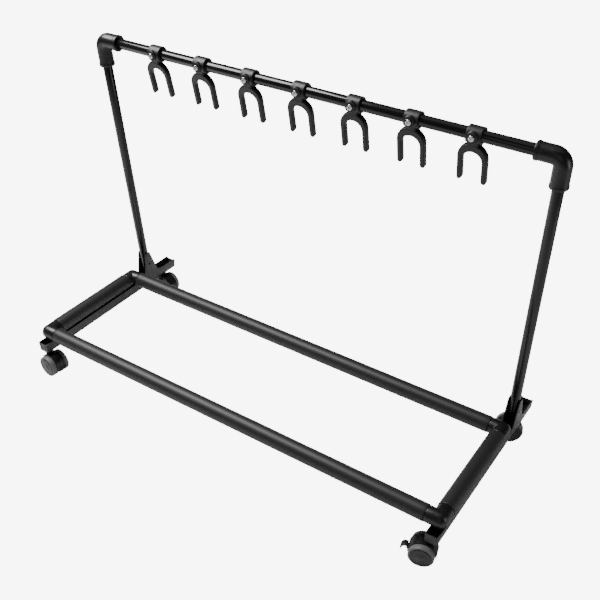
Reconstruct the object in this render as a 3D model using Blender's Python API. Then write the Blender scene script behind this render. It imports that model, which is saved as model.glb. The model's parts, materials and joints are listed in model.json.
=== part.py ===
"""Rolling guitar rack: a foam-sleeved base loop on two channel feet with four twin-wheel
casters, two leaning uprights and a top bar that carries seven sliding, turning neck yokes.

Frame: metres, +X along the top bar, +Y from the open front to the uprights, +Z up.
The origin is on the floor under the middle of the rack's bounding box.
"""
import math

import bmesh
import bpy
from mathutils import Matrix, Vector

# ---------------------------------------------------------------- driving dimensions
GAP = 0.0003                  # running gap between touching pieces

SIDE_X = 0.525                # uprights, side rails and feet lie at +-SIDE_X
FRONT_Y = -0.2028             # axis of the front rail
DEPTH = 0.300                 # front rail axis to rear rail axis
RAIL_Z = 0.105                # rail axes above the floor

TUBE_R = 0.011                # steel tube, outside
TUBE_WALL = 0.0015
FOAM_R = 0.0185               # foam sleeve, outside
FOAM_END = 0.027              # foam starts this far from a base corner
TUBE_SIDES = 16

BAR_Y = FRONT_Y + DEPTH       # top bar above the rear rail
BAR_Z = 0.7275
FOOT_Y = FRONT_Y + 0.356      # upright axis at rail height

TOP_ELBOW_R = 0.0165
TOP_ELBOW_LIP = 0.0180
TOP_ELBOW_LIP_LENGTH = 0.006
TOP_ELBOW_BEND = 0.0185       # bend radius of the elbow's centre line
TOP_ELBOW_ARM = 0.050         # corner to the mouth along the bar
TOP_ELBOW_DROP = 0.058        # corner to the mouth down the upright
BASE_ELBOW_R = 0.0170
SOCKET_STOP = 0.014           # tube ends this far from a corner's centre

CHANNEL_FRONT = FRONT_Y - 0.029
CHANNEL_REAR = FRONT_Y + 0.456
CHANNEL_WIDTH = 0.027
CHANNEL_BOTTOM = 0.0605
CHANNEL_TOP = 0.0855
CHANNEL_WALL = 0.002
EAR_TOP = 0.156

BOLT_PLACES = (DEPTH / 3, DEPTH * 2 / 3)   # side rail bolts, behind the front rail
BOLT_R = 0.003
BOLT_HEAD_R = 0.0065
BOLT_HEAD = 0.006
PIN_Z = 0.122                 # cross pin through the ears and the upright
PIN_R = 0.004

HANGER_COUNT = 7
HANGER_PITCH = 0.122
LINER_R_IN = 0.0113
LINER_R_OUT = 0.0127
LINER_LENGTH = 0.0306
COLLAR_R_IN = 0.0130
COLLAR_R = 0.0162
COLLAR_LENGTH = 0.0294
BOSS_R = 0.0105
BOSS_FRONT = 0.0205           # front of the screw boss, ahead of the bar axis
SCREW_R = 0.0028
SCREW_HEAD_R = 0.0058
SCREW_HEAD = 0.0034
YOKE_TILT = math.radians(13)  # fork leans back from straight down
YOKE_CROWN = 0.0122           # bar axis to the top of the fork
YOKE_AHEAD = 0.0090           # middle of the fork ahead of the bar axis
YOKE_INNER_CROWN = 0.0287
YOKE_TIP = 0.0932
YOKE_HALF = 0.0287
YOKE_GAP_HALF = 0.0186
YOKE_THICK = 0.0127
YOKE_NECK_HALF = 0.0125

WHEEL_R = 0.0265
WHEEL_INSIDE = 0.0070         # inner face of each wheel from the caster's middle
WHEEL_OUTSIDE = 0.0260
WHEEL_SIDES = 20
TRAIL = 0.016                 # stem axis to axle
AXLE_R = 0.003
HOOD_R = 0.0295
HOOD_HALF = 0.0125
STEM_R = 0.005
STEM_TOP = 0.074
FRONT_STEM_Y = FRONT_Y - 0.0155
REAR_STEM_Y = FRONT_Y + 0.414

# each caster: side, stem y, heading of its wheels from the stem (degrees from +X), brake
CASTERS = {
    "front_left": (-1, FRONT_STEM_Y, -6.0, False),
    "front_right": (1, FRONT_STEM_Y, 194.5, True),
    "rear_left": (-1, REAR_STEM_Y, -6.0, False),
    "rear_right": (1, REAR_STEM_Y, 215.0, True),
}

for old in list(bpy.data.objects):
    bpy.data.objects.remove(old, do_unlink=True)


# ---------------------------------------------------------------- helpers
def material(name, colour, roughness, metallic=0.0):
    made = bpy.data.materials.new(name)
    made.use_nodes = True
    shader = made.node_tree.nodes["Principled BSDF"]
    shader.inputs["Base Color"].default_value = (*colour, 1.0)
    shader.inputs["Roughness"].default_value = roughness
    shader.inputs["Metallic"].default_value = metallic
    made.diffuse_color = (*colour, 1.0)
    return made


def finish_mesh(name, bm):
    """Close the books on a bmesh: faces outward, round stretches smooth, flats sharp."""
    bmesh.ops.recalc_face_normals(bm, faces=bm.faces)
    mesh = bpy.data.meshes.new(name)
    bm.to_mesh(mesh)
    bm.free()
    mesh.shade_smooth()
    mesh.set_sharp_from_angle(angle=math.radians(35))
    return mesh


def place(name, mesh, finish, location=(0, 0, 0), parent=None):
    part = bpy.data.objects.new(name, mesh)
    bpy.context.scene.collection.objects.link(part)
    part.location = location
    part.parent = parent
    if not mesh.materials:
        mesh.materials.append(finish)
    return part


def pivot(name, location, turn=0.0):
    """An empty on a joint's axis, turned about +Z."""
    empty = bpy.data.objects.new(name, None)
    bpy.context.scene.collection.objects.link(empty)
    empty.location = location
    empty.rotation_euler = (0, 0, turn)
    return empty


def skin(bm, rings, closed):
    """Bridge rings of equal length; closed joins the last ring to the first, else caps."""
    loops = [[bm.verts.new(point) for point in ring] for ring in rings]
    pairs = list(zip(loops, loops[1:]))
    if closed:
        pairs.append((loops[-1], loops[0]))
    else:
        bm.faces.new(loops[0])
        bm.faces.new(loops[-1])
    count = len(loops[0])
    for low, high in pairs:
        for i in range(count):
            j = (i + 1) % count
            bm.faces.new((low[i], low[j], high[j], high[i]))


def circle(centre, across, up, radius, sides, phase=0.5):
    """Points of a regular ring; phase 0.5 puts a flat, not a corner, on each main direction."""
    points = []
    for i in range(sides):
        angle = 2 * math.pi * (i + phase) / sides
        points.append(centre + across * (radius * math.cos(angle)) + up * (radius * math.sin(angle)))
    return points


def across_and_up(direction):
    """Two unit vectors square to a direction."""
    side = Vector((1, 0, 0)) if abs(direction.x) < 0.9 else Vector((0, 1, 0))
    up = direction.cross(side).normalized()
    return up.cross(direction).normalized(), up


def turned(profile, direction, sides, closed=False, start=(0, 0, 0)):
    """Turn (radius, distance) points about a direction through start."""
    direction = Vector(direction)
    across, up = across_and_up(direction)
    rings = []
    for radius, distance in profile:
        rings.append(circle(Vector(start) + direction * distance, across, up, radius, sides))
    bm = bmesh.new()
    skin(bm, rings, closed)
    return bm


def tube_mesh(name, start, end, outside, inside, sides=TUBE_SIDES):
    """A tube with open ends between two points."""
    start, end = Vector(start), Vector(end)
    length = (end - start).length
    profile = [(outside, 0), (outside, length), (inside, length), (inside, 0)]
    return finish_mesh(name, turned(profile, (end - start).normalized(), sides, True, start))


def rounded(corners, steps=4):
    """Outline through (x, y, radius) corners, with an arc at each corner that has a radius."""
    outline = []
    for i, (x, y, radius) in enumerate(corners):
        here = Vector((x, y))
        if radius == 0:
            outline.append(here)
            continue
        before = (Vector(corners[i - 1][:2]) - here).normalized()
        after = (Vector(corners[(i + 1) % len(corners)][:2]) - here).normalized()
        half = before.angle(after) / 2
        centre = here + (before + after).normalized() * (radius / math.sin(half))
        first = here + before * (radius / math.tan(half)) - centre
        last = here + after * (radius / math.tan(half)) - centre
        swing = first.angle_signed(last)
        for step in range(steps + 1):
            outline.append(centre + Matrix.Rotation(-swing * step / steps, 2) @ first)
    return outline


def slab(outline, first, second, through, start=(0, 0, 0)):
    """Extrude an outline, laid on the first and second directions, along through."""
    first, second, through = Vector(first), Vector(second), Vector(through)
    base = [Vector(start) + first * point.x + second * point.y for point in outline]
    bm = bmesh.new()
    skin(bm, [base, [point + through for point in base]], False)
    return bm


def block(low, high):
    """A box between two corners."""
    low, high = Vector(low), Vector(high)
    outline = [Vector((0, 0)), Vector((high.x - low.x, 0)),
               Vector((high.x - low.x, high.y - low.y)), Vector((0, high.y - low.y))]
    return slab(outline, (1, 0, 0), (0, 1, 0), (0, 0, high.z - low.z), low)


def combined(name, base, steps):
    """Union or cut solids, given as (operation, bmesh) steps, into one closed mesh."""
    body = place(name, finish_mesh(name, base), None)
    tools = []
    for operation, bm in steps:
        tool = place(f"{name}_tool", finish_mesh(f"{name}_tool", bm), None)
        modifier = body.modifiers.new(operation, "BOOLEAN")
        modifier.operation = operation
        modifier.solver = "EXACT"
        modifier.object = tool
        tools.append(tool)
    evaluated = body.evaluated_get(bpy.context.evaluated_depsgraph_get())
    mesh = bpy.data.meshes.new_from_object(evaluated)
    for used in [body, *tools]:
        bpy.data.objects.remove(used, do_unlink=True)
    mesh.materials.clear()
    bm = bmesh.new()
    bm.from_mesh(mesh)
    bmesh.ops.remove_doubles(bm, verts=bm.verts, dist=1e-6)
    bmesh.ops.dissolve_degenerate(bm, edges=bm.edges, dist=1e-6)
    bmesh.ops.triangulate(bm, faces=[face for face in bm.faces if len(face.verts) > 4])
    bm.to_mesh(mesh)
    bm.free()
    mesh.shade_smooth()
    mesh.set_sharp_from_angle(angle=math.radians(35))
    return mesh


def rod(start, direction, radius, length, sides=12):
    """A solid round bar, used for bores and shafts."""
    return turned([(radius, 0), (radius, length)], direction, sides, start=start)


# ---------------------------------------------------------------- finishes
black_paint = material("black_paint", (0.012, 0.012, 0.013), 0.32, 0.0)
black_foam = material("black_foam", (0.022, 0.022, 0.023), 0.78)
black_plastic = material("black_plastic", (0.016, 0.016, 0.017), 0.45)
foot_paint = material("foot_paint", (0.018, 0.018, 0.019), 0.42)
yoke_rubber = material("yoke_rubber", (0.020, 0.020, 0.021), 0.55)
liner_plastic = material("liner_plastic", (0.010, 0.010, 0.010), 0.50)
bright_screw = material("bright_screw", (0.62, 0.62, 0.64), 0.25, 1.0)
dark_bolt = material("dark_bolt", (0.05, 0.05, 0.055), 0.40, 0.9)
wheel_rubber = material("wheel_rubber", (0.16, 0.16, 0.165), 0.50)

X = Vector((1, 0, 0))
Y = Vector((0, 1, 0))
Z = Vector((0, 0, 1))


# ---------------------------------------------------------------- uprights and top bar
def upright_axis(side):
    """Foot and head of an upright's axis: rail height below, bar height above."""
    return Vector((side * SIDE_X, FOOT_Y, RAIL_Z)), Vector((side * SIDE_X, BAR_Y, BAR_Z))


def build_upright(label, side):
    foot, head = upright_axis(side)
    climb = (head - foot).normalized()
    bottom_clear = CHANNEL_BOTTOM + CHANNEL_WALL + 0.0015
    low = foot + climb * ((bottom_clear - RAIL_Z) / climb.z)
    high = head - climb * (TOP_ELBOW_BEND + 0.004)
    span = (high - low).length
    inner = TUBE_R - TUBE_WALL
    base = turned([(TUBE_R, 0), (TUBE_R, span), (inner, span), (inner, 0)], climb, TUBE_SIDES, True, low)
    pin_y = foot.y + climb.y * (PIN_Z - RAIL_Z) / climb.z
    bore = rod((side * SIDE_X - 0.02, pin_y, PIN_Z), X, PIN_R + GAP, 0.04)
    place(f"upright_{label}", combined(f"upright_{label}", base, [("DIFFERENCE", bore)]), black_paint)
    pin_length = CHANNEL_WIDTH - 2 * GAP
    pin = rod((side * SIDE_X - pin_length / 2, pin_y, PIN_Z), X, PIN_R, pin_length)
    place(f"upright_pin_{label}", finish_mesh(f"upright_pin_{label}", pin), dark_bolt)


def build_top_elbow(label, side):
    """A bent socket in the plane of the bar and the upright, with a lip at each mouth."""
    foot, head = upright_axis(side)
    down = (foot - head).normalized()
    inward = Vector((-side, 0, 0))
    square = inward.cross(down).normalized()
    centre = head + (inward + down) * TOP_ELBOW_BEND
    stations = []
    for along in (TOP_ELBOW_ARM, TOP_ELBOW_ARM - TOP_ELBOW_LIP_LENGTH,
                  TOP_ELBOW_ARM - TOP_ELBOW_LIP_LENGTH - 0.001):
        stations.append((head + inward * along, down))
    for step in range(6):
        angle = math.radians(90) * step / 5
        outward = -down * math.cos(angle) - inward * math.sin(angle)
        stations.append((centre + outward * TOP_ELBOW_BEND, -outward))
    for along in (TOP_ELBOW_DROP - TOP_ELBOW_LIP_LENGTH - 0.001,
                  TOP_ELBOW_DROP - TOP_ELBOW_LIP_LENGTH, TOP_ELBOW_DROP):
        stations.append((head + down * along, inward))
    last = len(stations) - 1
    rings = []
    for i, (point, across) in enumerate(stations):
        lip = i in (0, 1, last - 1, last)
        rings.append(circle(point, across, square, TOP_ELBOW_LIP if lip else TOP_ELBOW_R, TUBE_SIDES))
    for i, (point, across) in reversed(list(enumerate(stations))):
        if i not in (1, 2, last - 1, last - 2):
            rings.append(circle(point, across, square, TUBE_R + GAP * 1.5, TUBE_SIDES))
    bm = bmesh.new()
    skin(bm, rings, True)
    place(f"top_elbow_{label}", finish_mesh(f"top_elbow_{label}", bm), black_plastic)


def build_top_bar():
    reach = SIDE_X - TOP_ELBOW_BEND - 0.004
    mesh = tube_mesh("top_bar", (-reach, BAR_Y, BAR_Z), (reach, BAR_Y, BAR_Z), TUBE_R, TUBE_R - TUBE_WALL)
    place("top_bar", mesh, black_paint)


# ---------------------------------------------------------------- base loop
def build_rail(label, y):
    """A cross rail: its steel tube and the foam sleeve over it."""
    reach = SIDE_X - SOCKET_STOP - GAP
    tube = tube_mesh(f"{label}_rail_tube", (-reach, y, RAIL_Z), (reach, y, RAIL_Z), TUBE_R, TUBE_R - TUBE_WALL)
    place(f"{label}_rail_tube", tube, black_paint)
    reach = SIDE_X - FOAM_END - GAP
    foam = tube_mesh(f"{label}_rail_foam", (-reach, y, RAIL_Z), (reach, y, RAIL_Z), FOAM_R, TUBE_R + GAP * 1.5)
    place(f"{label}_rail_foam", foam, black_foam)


def build_side(label, side):
    """A side rail: tube and foam, both pierced from below for the two foot bolts."""
    x = side * SIDE_X

    def sleeve(clear, outside, inside):
        low, high = FRONT_Y + clear, FRONT_Y + DEPTH - clear
        profile = [(outside, low), (outside, high), (inside, high), (inside, low)]
        return turned(profile, Y, TUBE_SIDES, True, (x, 0, RAIL_Z))

    def bores():
        return [("DIFFERENCE", rod((x, FRONT_Y + y, CHANNEL_TOP - 0.01), Z, BOLT_R + GAP, 0.025))
                for y in BOLT_PLACES]

    tube = combined(f"{label}_side_tube", sleeve(SOCKET_STOP + GAP, TUBE_R, TUBE_R - TUBE_WALL), bores())
    place(f"{label}_side_tube", tube, black_paint)
    foam = combined(f"{label}_side_foam", sleeve(FOAM_END + GAP, FOAM_R, TUBE_R + GAP * 1.5), bores())
    place(f"{label}_side_foam", foam, black_foam)
    for number, y in enumerate(BOLT_PLACES, 1):
        head = CHANNEL_BOTTOM - GAP
        profile = [(BOLT_HEAD_R, -BOLT_HEAD), (BOLT_HEAD_R, -0.0015), (BOLT_HEAD_R + 0.002, -0.0015),
                   (BOLT_HEAD_R + 0.002, 0), (BOLT_R, 0), (BOLT_R, RAIL_Z - TUBE_R + 0.005 - head)]
        bolt = turned(profile, Z, 12, start=(x, FRONT_Y + y, head))
        place(f"{label}_foot_bolt_{number}", finish_mesh(f"{label}_foot_bolt_{number}", bolt), dark_bolt)


def build_base_elbow(label, side, end):
    """A corner with a ball-shaped heel and two blind sockets; end is -1 in front, 1 behind."""
    corner = Vector((side * SIDE_X, FRONT_Y if end < 0 else FRONT_Y + DEPTH, RAIL_Z))
    along_x = Vector((-side, 0, 0))
    along_y = Vector((0, -end, 0))
    ball = bmesh.new()
    bmesh.ops.create_uvsphere(ball, u_segments=16, v_segments=8, radius=BASE_ELBOW_R * 1.01,
                              matrix=Matrix.Translation(corner))
    steps = [("UNION", ball)]
    steps.append(("UNION", rod(corner, along_y, BASE_ELBOW_R, FOAM_END - GAP, TUBE_SIDES)))
    for direction in (along_x, along_y):
        depth = FOAM_END - SOCKET_STOP + 0.003
        socket = rod(corner + direction * SOCKET_STOP, direction, TUBE_R + GAP * 1.5, depth, TUBE_SIDES)
        steps.append(("DIFFERENCE", socket))
    arm = rod(corner, along_x, BASE_ELBOW_R, FOAM_END - GAP, TUBE_SIDES)
    place(f"{label}_elbow", combined(f"{label}_elbow", arm, steps), black_plastic)


# ---------------------------------------------------------------- feet
def build_foot(label, side):
    """A tray-shaped channel whose walls rise into two ears that hold the upright."""
    x = side * SIDE_X
    ear = FOOT_Y
    outline = rounded([
        (CHANNEL_FRONT, CHANNEL_BOTTOM, 0.003),
        (CHANNEL_REAR, CHANNEL_BOTTOM, 0.003),
        (CHANNEL_REAR, CHANNEL_TOP, 0.005),
        (ear + 0.030, CHANNEL_TOP, 0.022),
        (ear + 0.0035, EAR_TOP, 0.003),
        (ear - 0.0110, EAR_TOP, 0.004),
        (ear - 0.0215, CHANNEL_TOP, 0.004),
        (CHANNEL_FRONT, CHANNEL_TOP, 0.002),
    ])
    half = CHANNEL_WIDTH / 2
    base = slab(outline, Y, Z, (CHANNEL_WIDTH, 0, 0), (x - half, 0, 0))
    inside = half - CHANNEL_WALL
    tray = block((x - inside, CHANNEL_FRONT + CHANNEL_WALL, CHANNEL_BOTTOM + CHANNEL_WALL),
                 (x + inside, CHANNEL_REAR - CHANNEL_WALL, EAR_TOP + 0.01))
    steps = [("DIFFERENCE", tray)]
    below = CHANNEL_BOTTOM - 0.005
    for y in BOLT_PLACES:
        steps.append(("DIFFERENCE", rod((x, FRONT_Y + y, below), Z, BOLT_R + GAP, 0.015)))
    for y in (FRONT_STEM_Y, REAR_STEM_Y):
        steps.append(("DIFFERENCE", rod((x, y, below), Z, STEM_R + GAP, 0.015)))
    foot, head = upright_axis(side)
    climb = head - foot
    pin_y = foot.y + climb.y * (PIN_Z - RAIL_Z) / climb.z
    steps.append(("DIFFERENCE", rod((x - 0.02, pin_y, PIN_Z), X, PIN_R + GAP, 0.04)))
    place(f"foot_{label}", combined(f"foot_{label}", base, steps), foot_paint)


# ---------------------------------------------------------------- hangers
def yoke_outline():
    """The fork seen from the front: x across, y down the fork from the bar axis."""
    steps = 8
    outer, inner = [], []
    outer_centre = YOKE_CROWN + YOKE_HALF
    inner_centre = YOKE_INNER_CROWN + YOKE_GAP_HALF
    for step in range(steps + 1):
        angle = math.pi * step / steps
        outer.append(Vector((-YOKE_HALF * math.cos(angle), outer_centre - YOKE_HALF * math.sin(angle))))
        inner.append(Vector((YOKE_GAP_HALF * math.cos(angle), inner_centre - YOKE_GAP_HALF * math.sin(angle))))
    arm = YOKE_HALF - YOKE_GAP_HALF
    middle = YOKE_GAP_HALF + arm / 2
    tip = [Vector((middle + arm * 0.40, YOKE_TIP - 0.0055)), Vector((middle + arm * 0.18, YOKE_TIP - 0.0008)),
           Vector((middle - arm * 0.10, YOKE_TIP - 0.0012)), Vector((middle - arm * 0.42, YOKE_TIP - 0.0090))]
    left_tip = [Vector((-point.x, point.y)) for point in reversed(tip)]
    return outer + tip + inner + left_tip


def yoke_mesh():
    """Collar, screw boss, neck and fork moulded in one, around the bar axis."""
    down = Vector((0, math.sin(YOKE_TILT), -math.cos(YOKE_TILT)))
    back = X.cross(down).normalized()
    half = COLLAR_LENGTH / 2
    collar = rod((-half, 0, 0), X, COLLAR_R, COLLAR_LENGTH, 20)
    boss = rod((0, -BOSS_FRONT, 0), Y, BOSS_R, BOSS_FRONT - 0.006, 14)
    neck = slab(rounded([(-YOKE_NECK_HALF, 0.006, 0), (YOKE_NECK_HALF, 0.006, 0),
                         (YOKE_NECK_HALF + 0.004, YOKE_CROWN + 0.012, 0),
                         (-YOKE_NECK_HALF - 0.004, YOKE_CROWN + 0.012, 0)]),
                X, down, back * (YOKE_THICK * 0.92), -back * (YOKE_AHEAD + YOKE_THICK * 0.46))
    fork = slab(yoke_outline(), X, down, back * YOKE_THICK, -back * (YOKE_AHEAD + YOKE_THICK / 2))
    bore = rod((-half - 0.01, 0, 0), X, COLLAR_R_IN, COLLAR_LENGTH + 0.02, 20)
    screw_hole = rod((0, -BOSS_FRONT - 0.005, 0), Y, SCREW_R + GAP, BOSS_FRONT, 12)
    steps = [("UNION", neck), ("UNION", fork), ("UNION", boss), ("DIFFERENCE", bore),
             ("DIFFERENCE", screw_hole)]
    return combined("yoke", collar, steps)


def screw_mesh():
    """A round-headed clamp screw along -Y that stops just short of the liner."""
    face = BOSS_FRONT + GAP
    profile = [(SCREW_R, LINER_R_OUT + GAP * 2), (SCREW_R, face), (SCREW_HEAD_R, face),
               (SCREW_HEAD_R, face + SCREW_HEAD * 0.45), (SCREW_HEAD_R * 0.62, face + SCREW_HEAD)]
    return finish_mesh("clamp_screw", turned(profile, -Y, 12))


def build_hangers():
    yoke = yoke_mesh()
    liner = tube_mesh("liner", (-LINER_LENGTH / 2, 0, 0), (LINER_LENGTH / 2, 0, 0), LINER_R_OUT, LINER_R_IN)
    screw = screw_mesh()
    for i in range(HANGER_COUNT):
        x = (i - (HANGER_COUNT - 1) / 2) * HANGER_PITCH
        hub = pivot(f"hanger_{i + 1}_axis", (x, BAR_Y, BAR_Z))
        place(f"hanger_{i + 1}_yoke", yoke, yoke_rubber, parent=hub)
        place(f"hanger_{i + 1}_liner", liner, liner_plastic, parent=hub)
        place(f"hanger_{i + 1}_screw", screw, bright_screw, parent=hub)


# ---------------------------------------------------------------- casters
def arc(centre, radius, start, stop, steps):
    """Points on an arc, angles in degrees from +x towards +y."""
    points = []
    for step in range(steps + 1):
        angle = math.radians(start + (stop - start) * step / steps)
        points.append(Vector((centre[0] + radius * math.cos(angle), centre[1] + radius * math.sin(angle))))
    return points


def hood_mesh():
    """Web between the wheels, fender over them, stem above and axle across, in one piece."""
    axle = (TRAIL, WHEEL_R)
    web_half = WHEEL_INSIDE - 0.001
    web = slab(arc(axle, HOOD_R - 0.0006, -28, 208, 12), X, Z, Y * (2 * web_half), (0, -web_half, 0))
    fender = arc(axle, HOOD_R, -12, 192, 12) + arc(axle, HOOD_R - 0.0018, 192, -12, 12)
    fender = slab(fender, X, Z, Y * (2 * HOOD_HALF), (0, -HOOD_HALF, 0))
    collar = HOOD_HALF * 0.72
    stem = turned([(web_half - 0.0005, 0.040), (web_half - 0.0005, 0.0525), (collar, 0.054),
                   (collar, CHANNEL_BOTTOM - GAP), (STEM_R, CHANNEL_BOTTOM - GAP), (STEM_R, STEM_TOP)], Z, 12)
    reach = WHEEL_OUTSIDE - 0.004
    shaft = rod((TRAIL, -reach, WHEEL_R), Y, AXLE_R, 2 * reach)
    return combined("hood", web, [("UNION", fender), ("UNION", stem), ("UNION", shaft)])


def wheel_mesh(facing):
    """A wheel on a blind hub bore, its closed face towards facing times +Y."""
    flat_r = WHEEL_R / math.cos(math.pi / WHEEL_SIDES)
    bore = AXLE_R + GAP * 1.5
    profile = [(bore, WHEEL_OUTSIDE - 0.0035), (bore, WHEEL_INSIDE), (flat_r, WHEEL_INSIDE),
               (flat_r, WHEEL_OUTSIDE - 0.0025), (flat_r - 0.0025, WHEEL_OUTSIDE)]
    return finish_mesh("wheel", turned(profile, Y * facing, WHEEL_SIDES, start=(0, 0, 0)))


def lever_mesh():
    """A pressed brake tab behind the fender, pivoting at its top."""
    outline = rounded([(0.0003, 0.0040, 0.001), (0.0003, 0.0000, 0), (0.0024, -0.0045, 0.001),
                       (0.0090, -0.0065, 0.002), (0.0125, -0.0115, 0.001), (0.0155, -0.0105, 0.001),
                       (0.0135, -0.0010, 0.003), (0.0060, 0.0040, 0.002)], 2)
    return finish_mesh("brake_lever", slab(outline, X, Z, Y * 0.014, (0, -0.007, 0)))


def build_casters():
    hood = hood_mesh()
    front_wheel, back_wheel = wheel_mesh(-1), wheel_mesh(1)
    lever = lever_mesh()
    for label, (side, y, heading, brake) in CASTERS.items():
        swivel = pivot(f"caster_{label}_swivel", (side * SIDE_X, y, 0), math.radians(heading))
        place(f"caster_{label}_hood", hood, black_plastic, parent=swivel)
        hub = (TRAIL, 0, WHEEL_R)
        place(f"caster_{label}_wheel_a", front_wheel, wheel_rubber, hub, swivel)
        place(f"caster_{label}_wheel_b", back_wheel, wheel_rubber, hub, swivel)
        if brake:
            edge = (TRAIL + HOOD_R + GAP, 0, WHEEL_R + 0.001)
            place(f"caster_{label}_brake", lever, black_plastic, edge, swivel)


build_top_bar()
for side_label, side_sign in (("left", -1), ("right", 1)):
    build_upright(side_label, side_sign)
    build_top_elbow(side_label, side_sign)
    build_side(side_label, side_sign)
    build_foot(side_label, side_sign)
    build_base_elbow(f"front_{side_label}", side_sign, -1)
    build_base_elbow(f"rear_{side_label}", side_sign, 1)
build_rail("front", FRONT_Y)
build_rail("rear", FRONT_Y + DEPTH)
build_hangers()
build_casters()
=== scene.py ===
# %% [markdown]
# # A rolling guitar rack, dressed piece by piece
# The working model of the rack is already built: plain tubes, sockets, forks and casters in
# their right places and sizes. This lesson loads that model as a fixed frame and then builds
# the surfaces a person sees, one kind of piece at a time, around it.

# %% Load the frame
import json
import math

import bmesh
import bpy
from mathutils import Matrix, Vector


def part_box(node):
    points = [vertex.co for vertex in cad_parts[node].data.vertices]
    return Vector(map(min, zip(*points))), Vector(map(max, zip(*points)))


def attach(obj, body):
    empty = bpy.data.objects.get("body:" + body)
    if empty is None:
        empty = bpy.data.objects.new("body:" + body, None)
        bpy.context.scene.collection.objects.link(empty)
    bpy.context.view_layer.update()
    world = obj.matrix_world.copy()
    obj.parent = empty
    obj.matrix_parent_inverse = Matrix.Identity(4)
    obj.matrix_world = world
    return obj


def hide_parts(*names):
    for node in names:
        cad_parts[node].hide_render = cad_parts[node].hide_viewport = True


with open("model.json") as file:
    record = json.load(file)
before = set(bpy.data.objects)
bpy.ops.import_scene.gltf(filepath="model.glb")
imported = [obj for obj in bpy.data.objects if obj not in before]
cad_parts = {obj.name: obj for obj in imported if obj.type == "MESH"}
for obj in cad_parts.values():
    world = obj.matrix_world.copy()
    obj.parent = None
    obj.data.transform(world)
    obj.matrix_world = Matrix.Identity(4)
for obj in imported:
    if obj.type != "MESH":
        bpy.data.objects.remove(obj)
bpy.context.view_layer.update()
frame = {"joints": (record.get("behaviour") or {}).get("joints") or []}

# %% [markdown]
# ## Where things are
# Every place below is read from the frame instead of being typed in, so the looks follow the
# working model if it is ever resized. Only the sizes of sections (a tube's radius, a wall) are
# written here, because a box around a piece doesn't say them.

# %% Places read from the frame
def centre_of(node):
    low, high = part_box(node)
    return (low + high) / 2


BAR = centre_of("top_bar")
FRONT_RAIL = centre_of("front_rail_foam")
REAR_RAIL = centre_of("rear_rail_foam")
SIDES = {"left": centre_of("foot_left").x, "right": centre_of("foot_right").x}
PINS = {side: centre_of(f"upright_pin_{side}") for side in SIDES}
HANGERS = [centre_of(f"hanger_{number}_liner") for number in range(1, 8)]
FLOOR_TO_RAIL = FRONT_RAIL.z
JOINTS = {joint["name"]: Vector(joint["pos_m"]) for joint in frame["joints"] if "pos_m" in joint}
LEAN = math.atan2(BAR.y - PINS["left"].y, BAR.z - PINS["left"].z)
print(f"bar at {BAR.z:.4f} m, rails at {FLOOR_TO_RAIL:.4f} m, lean {math.degrees(LEAN):.2f} deg")

# %% Section sizes
GAP = 0.0003
TUBE_R = 0.011
TUBE_WALL = 0.0015
FOAM_R = 0.0185
FOAM_END = 0.027
BOLT_R = 0.003
PIN_R = 0.004
STEM_R = 0.005
SMOOTH_ANGLE = math.radians(35)
ROUND = 48
print("tube", TUBE_R * 2000, "mm, foam", FOAM_R * 2000, "mm across")

# %% [markdown]
# ## Camera
# The rack is long and low, so it is looked at from well above and from its right end, with a
# normal lens. The small shift slides the picture without turning the camera, which keeps the
# uprights upright. The camera comes first because everything after it is judged through it.

# %% Camera
VIEW_AZIMUTH = math.radians(34.54)
VIEW_ELEVATION = math.radians(38.98)
CAMERA_PLACE = Vector((0.870, -1.2525, 1.342))

lens = bpy.data.cameras.new("camera")
lens.lens = 50.57
lens.shift_x = 0.040
lens.shift_y = 0.107
camera = bpy.data.objects.new("camera", lens)
bpy.context.scene.collection.objects.link(camera)
camera.location = CAMERA_PLACE
camera.rotation_euler = (math.pi / 2 - VIEW_ELEVATION, 0, VIEW_AZIMUTH)
bpy.context.scene.camera = camera
print("camera", round((CAMERA_PLACE - BAR).length, 3), "m from the bar")

# %% [markdown]
# ## Helpers for shaping
# Operators act on whatever is selected, so each step here starts from a clean selection. `pick`
# selects by place, the way one would click on an edge: a small test says which ones are meant.

# %% Selecting
def deselect():
    bpy.ops.object.select_all(action="DESELECT")


def only(piece):
    deselect()
    piece.select_set(True)
    bpy.context.view_layer.objects.active = piece


def take(name):
    """Name the piece that an operator has just added."""
    piece = bpy.context.active_object
    piece.name = name
    piece.data.name = name
    return piece


def middle(item):
    """Where an edge or a face is; a vertex answers with its own place."""
    if isinstance(item, bmesh.types.BMVert):
        return item.co
    return sum((vertex.co for vertex in item.verts), Vector()) / len(item.verts)


def pick(piece, kind, test):
    """In edit mode, select only the vertices, edges or faces that pass a test."""
    bpy.ops.mesh.select_mode(type=kind)
    bpy.ops.mesh.select_all(action="DESELECT")
    mesh = bmesh.from_edit_mesh(piece.data)
    mesh.faces.ensure_lookup_table()
    found = {"VERT": mesh.verts, "EDGE": mesh.edges, "FACE": mesh.faces}[kind]
    chosen = [item for item in found if test(item)]
    for item in chosen:
        item.select_set(True)
    mesh.select_flush_mode()
    bmesh.update_edit_mesh(piece.data)
    return len(chosen)


def edit(piece):
    only(piece)
    bpy.ops.object.mode_set(mode="EDIT")


def select_whole():
    bpy.ops.mesh.select_all(action="SELECT")


def extrude(step):
    """Extrude what is selected by a step."""
    bpy.ops.mesh.extrude_region_move(TRANSFORM_OT_translate={"value": step})


def face_outwards():
    """Turn every face of the piece outwards."""
    select_whole()
    bpy.ops.mesh.normals_make_consistent(inside=False)


def leave():
    bpy.ops.object.mode_set(mode="OBJECT")


print("selection helpers ready")

# %% [markdown]
# Finished pieces keep their object at the origin with the place in the mesh, so that a pattern
# that reads object coordinates has one scale over the whole rack. Copies get a mesh of their own
# for the same reason.

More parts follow.
